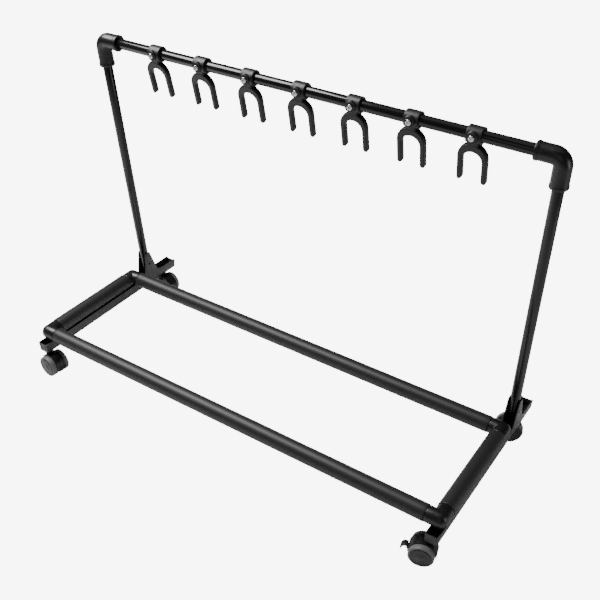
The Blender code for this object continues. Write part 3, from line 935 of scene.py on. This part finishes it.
def add_fork():
    """Fork hanging straight down, a little ahead of the bar axis at the origin."""
    deselect()
    outer_z = -(YOKE_CROWN + YOKE_HALF)
    inner_z = -(YOKE_INNER_CROWN + YOKE_GAP_HALF)
    upright = (math.pi / 2, 0, 0)
    bpy.ops.mesh.primitive_circle_add(vertices=64, radius=YOKE_HALF, location=(0, 0, outer_z),
                                      rotation=upright)
    fork = take("fork_pattern")
    settle(fork)
    edit(fork)
    bpy.ops.mesh.primitive_circle_add(vertices=64, radius=YOKE_GAP_HALF, location=(0, 0, inner_z),
                                      rotation=upright)
    arcs = ((YOKE_HALF, outer_z), (YOKE_GAP_HALF, inner_z))
    for half, z in arcs:

        def lower_half(vertex, half=half, z=z):
            from_centre = (vertex.co - Vector((0, 0, z))).length
            return vertex.co.z < z - 0.0001 and abs(from_centre - half) < 0.0002

        pick(fork, "VERT", lower_half)
        bpy.ops.mesh.delete(type="VERT")
    for half, z in arcs:

        def arc_end(vertex, half=half, z=z):
            return abs(vertex.co.z - z) < 0.0001 and abs(abs(vertex.co.x) - half) < 0.0001

        pick(fork, "VERT", arc_end)
        extrude((0, 0, -YOKE_TIP - z))
    bpy.ops.mesh.select_mode(type="EDGE")
    select_whole()
    bpy.ops.mesh.bridge_edge_loops()
    for reach, trim in ((YOKE_HALF, TIP_TRIM), (YOKE_GAP_HALF, INNER_TIP_TRIM)):

        def tip_corner(vertex, reach=reach):
            return vertex.co.z < -YOKE_TIP + 0.0001 and abs(abs(vertex.co.x) - reach) < 0.0001

        pick(fork, "VERT", tip_corner)
        bpy.ops.mesh.bevel(offset=trim, segments=6, affect="VERTICES")
    select_whole()
    extrude((0, YOKE_THICK, 0))
    select_whole()
    bpy.ops.transform.translate(value=(0, -YOKE_AHEAD - YOKE_THICK / 2, 0))
    bpy.ops.mesh.normals_make_consistent(inside=False)
    leave()
    soften(fork, YOKE_ROUND, 5, 50)
    return fork


# %% [markdown]
# The neck, boss and collar are then added. In the real part they flow into each other, because
# one mould makes them all. A voxel remesh of the joined solids followed by a little smoothing
# gives exactly that: every inner corner becomes a small fillet. Only after it are the bore and
# the screw hole cut, so that these two stay crisp.

# %% Whole yoke
COLLAR_R = 0.0162
COLLAR_HALF = 0.0147
COLLAR_BORE = 0.0130
BOSS_R = 0.0105
BOSS_FRONT = 0.0205
NECK_HALF = 0.0095
NECK_FLARE = 1.2
SCREW_R = 0.0028
SEAT_R = 0.0070
SEAT_DEPTH = 0.0006
CUT_FROM = (0, -0.03, 0)
VOXEL = 0.0006


def add_neck():
    """A tapered block from inside the collar to the crown of the fork."""
    top, bottom = -0.006, -(YOKE_CROWN + 0.012)
    neck = add_block("neck", (0, -YOKE_AHEAD, (top + bottom) / 2),
                     (2 * NECK_HALF, YOKE_THICK * 0.92, top - bottom))
    edit(neck)
    pick(neck, "FACE", lambda face: face.normal.z < -0.5)
    bpy.ops.transform.resize(value=(NECK_FLARE, 1, 1), center_override=(0, 0, bottom))
    leave()
    soften(neck, 0.0025, 3)
    return neck


def add_yoke():
    yoke = add_fork()
    join_with(yoke, add_neck())
    yoke.rotation_euler.x = YOKE_TILT
    settle(yoke)
    collar = add_rod("collar", (-COLLAR_HALF, 0, 0), (COLLAR_HALF, 0, 0), COLLAR_R, 64)
    soften(collar, 0.0008, 2)
    join_with(yoke, collar)
    boss = add_rod("boss", (0, -BOSS_FRONT, 0), (0, -0.006, 0), BOSS_R)
    soften(boss, 0.0010, 2)
    join_with(yoke, boss)
    modify(yoke, "REMESH", mode="VOXEL", voxel_size=VOXEL)
    modify(yoke, "SMOOTH", factor=0.5, iterations=5)
    modify(yoke, "DECIMATE", ratio=0.30)
    pierce(yoke, -ACROSS, ACROSS, COLLAR_BORE, 64)
    pierce(yoke, CUT_FROM, (0, -BOSS_FRONT + SEAT_DEPTH, 0), SEAT_R)
    pierce(yoke, CUT_FROM, (0, 0, 0), SCREW_R + GAP, 32)
    smooth(yoke, math.radians(40))
    return yoke


yoke = add_yoke()
print("yoke faces:", len(yoke.data.polygons))
for number, place in enumerate(HANGERS, 1):
    piece = copy_of(yoke, f"hanger_{number}_fork", Matrix.Translation(place))
    dress(piece, yoke_rubber, f"hanger_{number}", "yoke_rubber", f"hanger_{number}_yoke")
drop(yoke)

# %% [markdown]
# ## Liners and clamp screws
# A thin plastic liner lets the collar turn on the painted bar. The clamp screw is a bright
# domed head with a cross recess: a short cylinder gets a wide bevel on its front rim, and two
# crossed tapered bars are subtracted from it.

# %% Liners
LINER_R = 0.0127
LINER_WALL = 0.0014
for number in range(1, 8):
    node = f"hanger_{number}_liner"
    low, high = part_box(node)
    ends = [(x, BAR.y, BAR.z) for x in (low.x, high.x)]
    liner = add_tube(f"hanger_{number}_sleeve", *ends, LINER_R, LINER_WALL, chamfer=0.0003)
    dress(liner, liner_plastic, f"hanger_{number}_slider", "liner_plastic", node)
print("liner", round((high.x - low.x) * 1000, 1), "mm long")

# %% One clamp screw
HEAD_R = 0.0058
HEAD = 0.0034
SLOT_SIZE = (0.0074, 0.0036, 0.0017)
SLOT_ANGLES = (20, 110)


def add_screw(front, back):
    """Along Y at the origin's height, from the front of the head to the end of the shank."""
    screw = add_rod("screw_pattern", (0, front, 0), (0, front + HEAD, 0), HEAD_R)
    edit(screw)
    pick(screw, "EDGE", lambda edge: max(v.co.y for v in edge.verts) < front + 0.0001)
    bpy.ops.mesh.bevel(offset=0.0024, segments=6, profile=0.6)
    leave()
    join_with(screw, add_rod("shank", (0, front + HEAD / 2, 0), (0, back, 0), SCREW_R, 32))
    for angle in SLOT_ANGLES:
        slot = add_block("cross_slot", (0, front + SLOT_SIZE[1] / 4, 0), SLOT_SIZE)
        edit(slot)
        pick(slot, "FACE", lambda face: face.normal.y > 0.5)
        bpy.ops.transform.resize(value=(0.45, 1, 0.7), center_override=(0, front + SLOT_SIZE[1] * 3 / 4, 0))
        leave()
        slot.rotation_euler.y = math.radians(angle)
        settle(slot)
        join_with(screw, slot, "DIFFERENCE")
    smooth(screw)
    return screw


low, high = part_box("hanger_1_screw")
screw = add_screw(low.y - BAR.y, high.y - BAR.y)
for number, place in enumerate(HANGERS, 1):
    piece = copy_of(screw, f"hanger_{number}_clamp_screw", Matrix.Translation(place))
    dress(piece, bright_screw, f"hanger_{number}", "bright_screw", f"hanger_{number}_screw")
drop(screw)
print("screw", round((high.y - low.y) * 1000, 1), "mm long")

# %% [markdown]
# ## Casters
# A twin-wheel caster is a hood with a web between two wheels. Everything is modelled with the
# stem on the Z axis and the wheels trailing towards +X; a caster's heading is then read from the
# frame, as the direction from its stem to its axle.

# %% Caster places
CASTERS = {}
for name, stem in JOINTS.items():
    if name.endswith("_swivel"):
        caster = name.replace("_swivel", "")
        axle = (centre_of(f"{caster}_wheel_a") + centre_of(f"{caster}_wheel_b")) / 2
        heading = math.atan2(axle.y - stem.y, axle.x - stem.x)
        turned = Matrix.Rotation(heading, 4, "Z")
        CASTERS[caster] = Matrix.Translation((stem.x, stem.y, 0)) @ turned
        print(caster, "heads", round(math.degrees(heading), 1), "deg")

WHEEL_R = 0.0265
TRAIL = 0.016
AXLE = Vector((TRAIL, 0, WHEEL_R))

# %% [markdown]
# The hood's fender is part of a cylinder. Its band is divided across the width and every second
# strip is pressed in a little, which leaves the raised ribs that run around the hood. The lower
# part is cut off level and the inside cut away as a well for the wheels. The web, the flared neck,
# the stem and the axle are joined to it. The two hoods with a brake also get a small lug at the
# back, which the pedal springs from.

# %% Hood
HOOD_R = 0.0292
HOOD_HALF = 0.0125
HOOD_WALL = 0.0015
WEB_HALF = 0.006
RIB = 0.0009
RIBS = 4
FENDER_ABOVE = WHEEL_R - 0.0055
WEB_ABOVE = 0.0122
FLARE_R = 0.009
FLARE_LOW = Vector((0, 0, 0.040))
AXLE_R = 0.003
AXLE_REACH = Vector((0, 0.019, 0))
LUG_PLACE = (TRAIL + HOOD_R + 0.0003, 0, WHEEL_R - 0.0030)
LUG_SIZE = (0.0050, 0.0130, 0.0044)


def add_fender():
    side_to_side = Vector((0, HOOD_HALF, 0))
    fender = add_rod("fender", AXLE - side_to_side, AXLE + side_to_side, HOOD_R, 72)
    edit(fender)
    pick(fender, "EDGE", lambda edge: abs(edge.verts[0].co.y - edge.verts[1].co.y) > HOOD_HALF)
    bpy.ops.mesh.subdivide(number_cuts=2 * RIBS)
    strip = 2 * HOOD_HALF / (2 * RIBS + 1)

    def groove(face):
        order = round((middle(face).y + HOOD_HALF) / strip - 0.5)
        return abs(face.normal.y) < 0.5 and order % 2 == 1

    pick(fender, "FACE", groove)
    bpy.ops.mesh.extrude_region_shrink_fatten(TRANSFORM_OT_shrink_fatten={"value": -RIB})
    leave()
    soften(fender, 0.00015, 1, 50)
    keep_above(fender, FENDER_ABOVE)
    pierce(fender, AXLE - 2 * side_to_side, AXLE + 2 * side_to_side, HOOD_R - HOOD_WALL, 90)
    return fender


def add_hood(top):
    hood = add_fender()
    across = Vector((0, WEB_HALF, 0))
    web = add_rod("web", AXLE - across, AXLE + across, HOOD_R - 0.0012, 60)
    keep_above(web, WEB_ABOVE)
    join_with(hood, web)
    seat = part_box("foot_left")[0].z - GAP
    neck = add_rod("neck", FLARE_LOW, (0, 0, seat), FLARE_R)
    edit(neck)
    pick(neck, "FACE", lambda face: face.normal.z < -0.5)
    bpy.ops.transform.resize(value=(0.65, 0.65, 1), center_override=FLARE_LOW)
    leave()
    soften(neck, 0.0006, 2)
    join_with(hood, neck)
    join_with(hood, add_rod("stem", (0, 0, 0.050), (0, 0, top), STEM_R, 32))
    join_with(hood, add_rod("shaft", AXLE - AXLE_REACH, AXLE + AXLE_REACH, AXLE_R, 32))
    smooth(hood)
    return hood


stem_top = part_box("caster_front_left_hood")[1].z
hood = add_hood(stem_top)
braked = copy_of(hood, "braked_hood_pattern", Matrix.Identity(4))
lug = add_block("pedal_lug", LUG_PLACE, LUG_SIZE)
soften(lug, 0.0006, 2)
join_with(braked, lug)
smooth(braked)
for caster, place in CASTERS.items():
    pattern = braked if f"{caster}_brake_press" in JOINTS else hood
    piece = copy_of(pattern, f"{caster}_shell", place)
    dress(piece, black_plastic, caster, "black_plastic", f"{caster}_hood")
drop(hood)
drop(braked)
print("hood faces:", len(piece.data.polygons))

# %% [markdown]
# A wheel is two pieces on one body: a grey tyre ring with rounded shoulders, and a black hub
# whose outer face is a shallow dished disc. Both wheels of a pair are the same, turned about the
# vertical so that each disc faces out.

# %% Wheels
WHEEL_INSIDE = 0.0070
TYRE_OUTSIDE = 0.0242
HUB_R = 0.0175
DISC_R = 0.0220
DISC_FACE = -TYRE_OUTSIDE - 0.0001
HUB_BORE_R = 0.00345
HUB_BORE_DEPTH = 0.0122


def add_tyre():
    """Around the Y axis through the origin, outer side towards -Y."""
    tyre = add_rod("tyre_pattern", (0, -TYRE_OUTSIDE, 0), (0, -WHEEL_INSIDE, 0), WHEEL_R, 72)
    hollow(tyre, WHEEL_R - HUB_R - 0.0001, 72)
    soften(tyre, 0.0022, 5)
    smooth(tyre)
    return tyre


def add_hub():
    hub = add_rod("hub_pattern", (0, DISC_FACE, 0), (0, -WHEEL_INSIDE - 0.0002, 0), HUB_R, 72)
    edit(hub)
    pick(hub, "FACE", lambda face: face.normal.y < -0.9)
    face_y = DISC_FACE
    for step, radius, was in ((0.0, DISC_R - 0.0006, HUB_R), (0.0005, DISC_R, DISC_R - 0.0006),
                              (0.0005, DISC_R, DISC_R), (0.0005, DISC_R - 0.0006, DISC_R),
                              (0.0, DISC_R - 0.0020, DISC_R - 0.0006),
                              (-0.0006, DISC_R - 0.0028, DISC_R - 0.0020),
                              (0.0, 0.0062, DISC_R - 0.0028), (0.0004, 0.0055, 0.0062)):
        face_y -= step
        next_ring((0, -step, 0), radius / was, (0, face_y, 0))
    pick(hub, "FACE", lambda face: face.normal.y > 0.9 and middle(face).y > -WHEEL_INSIDE - 0.001)
    bpy.ops.mesh.inset(thickness=HUB_R - HUB_BORE_R)
    extrude((0, -HUB_BORE_DEPTH, 0))
    leave()
    tidy_mesh(hub)
    smooth(hub)
    return hub


tyre, hub = add_tyre(), add_hub()
for caster, place in CASTERS.items():
    for letter, turn in (("a", 0), ("b", math.pi)):
        node = f"{caster}_wheel_{letter}"
        at = place @ Matrix.Translation(AXLE) @ Matrix.Rotation(turn, 4, "Z")
        ring = copy_of(tyre, f"{node}_tyre", at)
        dress(ring, wheel_rubber, node, "wheel_rubber", node)
        disc = copy_of(hub, f"{node}_hub", at)
        dress(disc, wheel_disc, node, "black_plastic", node)
drop(tyre)
drop(hub)
print("wheel", WHEEL_R * 2000, "mm, faces", len(ring.data.polygons) + len(disc.data.polygons))

# %% [markdown]
# Two casters have a brake: a hooked paddle behind the fender. A narrow strip is drawn edge by
# edge along the hook, as a bent tab, then given thickness and soft edges.

# %% Brake levers
LEVER_HALF = 0.007
LEVER_THICK = 0.0036
LEVER_STEPS = ((0.0016, 0), (0.0026, 0), (0.0032, -0.0008), (0.0028, -0.0024), (0.0018, -0.0038),
               (0.0006, -0.0036), (0.0001, -0.0006))


def add_lever():
    """Root at the origin, hook towards +X and down."""
    deselect()
    bpy.ops.mesh.primitive_plane_add(size=1, location=(0.0004, 0, 0.0022))
    lever = take("lever_pattern")
    lever.scale = (0.0006, 2 * LEVER_HALF, 1)
    settle(lever)
    edit(lever)
    pick(lever, "EDGE", lambda edge: min(v.co.x for v in edge.verts) > 0.0005)
    for step_x, step_z in LEVER_STEPS:
        extrude((step_x, 0, step_z))
    leave()
    tidy_mesh(lever)
    modify(lever, "SOLIDIFY", thickness=LEVER_THICK, offset=0)
    soften(lever, 0.0012, 3, 60)
    smooth(lever)
    return lever


lever = add_lever()
for caster, place in CASTERS.items():
    pivot = JOINTS.get(f"{caster}_brake_press")
    if pivot is not None:
        heading = place.to_euler().z
        at = Matrix.Translation(pivot) @ Matrix.Rotation(heading, 4, "Z")
        piece = copy_of(lever, f"{caster}_pedal", at)
        dress(piece, black_plastic, f"{caster}_brake", "black_plastic", f"{caster}_brake")
        print(caster, "pedal at", [round(value, 4) for value in pivot])
drop(lever)

# %% [markdown]
# ## Stage and light
# The floor is a plain white sweep. Floor and sky both glow for the camera only, so that they read
# as one even white without lighting the rack from below. A large soft light stands to the left
# and above, where the bar's long highlight comes from. Three weaker ones fill in from above, from
# the front and, low down, from the right, where the casters would otherwise be lost.

# %% Floor
WHITE_SEEN = 8.0
SKY_LIGHT = 0.05

deselect()
bpy.ops.mesh.primitive_plane_add(size=30, location=(0, 0, 0))
floor = take("studio_floor")
white = bpy.data.materials.new("studio_white")
white.use_nodes = True
nodes = white.node_tree.nodes
base = nodes["Principled BSDF"]
set_inputs(base, {"Base Color": (0.85, 0.85, 0.85, 1), "Roughness": 0.9})
glow = nodes.new("ShaderNodeEmission")
glow.inputs["Strength"].default_value = WHITE_SEEN
ray = nodes.new("ShaderNodeLightPath")
either = nodes.new("ShaderNodeMixShader")
wire(ray, "Is Camera Ray", either, "Fac")
wire(base, "BSDF", either, 1)
wire(glow, "Emission", either, 2)
wire(either, "Shader", nodes["Material Output"], "Surface")
floor.data.materials.append(white)


# %% Lights
def add_light(name, place, target, width, height, power):
    lamp = bpy.data.lights.new(name, "AREA")
    lamp.shape = "RECTANGLE"
    lamp.size = width
    lamp.size_y = height
    lamp.energy = power
    light = bpy.data.objects.new(name, lamp)
    bpy.context.scene.collection.objects.link(light)
    light.location = place
    light.rotation_euler = aim(Vector(target), Vector(place))


add_light("key", (-1.5, -0.25, 2.3), (-0.3, 0, 0.3), 1.2, 1.6, 105)
add_light("top", (0.3, 0.2, 2.8), (0.2, 0, 0.3), 2.2, 2.2, 6)
add_light("front", (1.2, -2.6, 1.6), (0, 0, 0.4), 2.0, 1.6, 4)
add_light("side", (2.4, 0.2, 0.7), (0.5, 0, 0.1), 0.8, 1.0, 9)
print("lights: key, top, front, side")

# %% Sky
world = bpy.data.worlds.new("studio")
bpy.context.scene.world = world
world.use_nodes = True
nodes = world.node_tree.nodes
sky = nodes["Background"]
sky.inputs["Color"].default_value = (0.95, 0.95, 0.95, 1)
ray = nodes.new("ShaderNodeLightPath")
brightness = nodes.new("ShaderNodeMath")
brightness.operation = "MULTIPLY_ADD"
brightness.inputs[1].default_value = WHITE_SEEN
brightness.inputs[2].default_value = SKY_LIGHT
wire(ray, "Is Camera Ray", brightness, 0)
wire(brightness, 0, sky, "Strength")
print("sky", WHITE_SEEN, "to the camera,", SKY_LIGHT, "to the rack")

# %% [markdown]
# ## Last count
# The dressed pieces are counted, with their triangles.

# %% Count the pieces
print("pieces:", len(dressed), "triangles:",
      sum(len(face.vertices) - 2 for piece in dressed for face in piece.data.polygons))
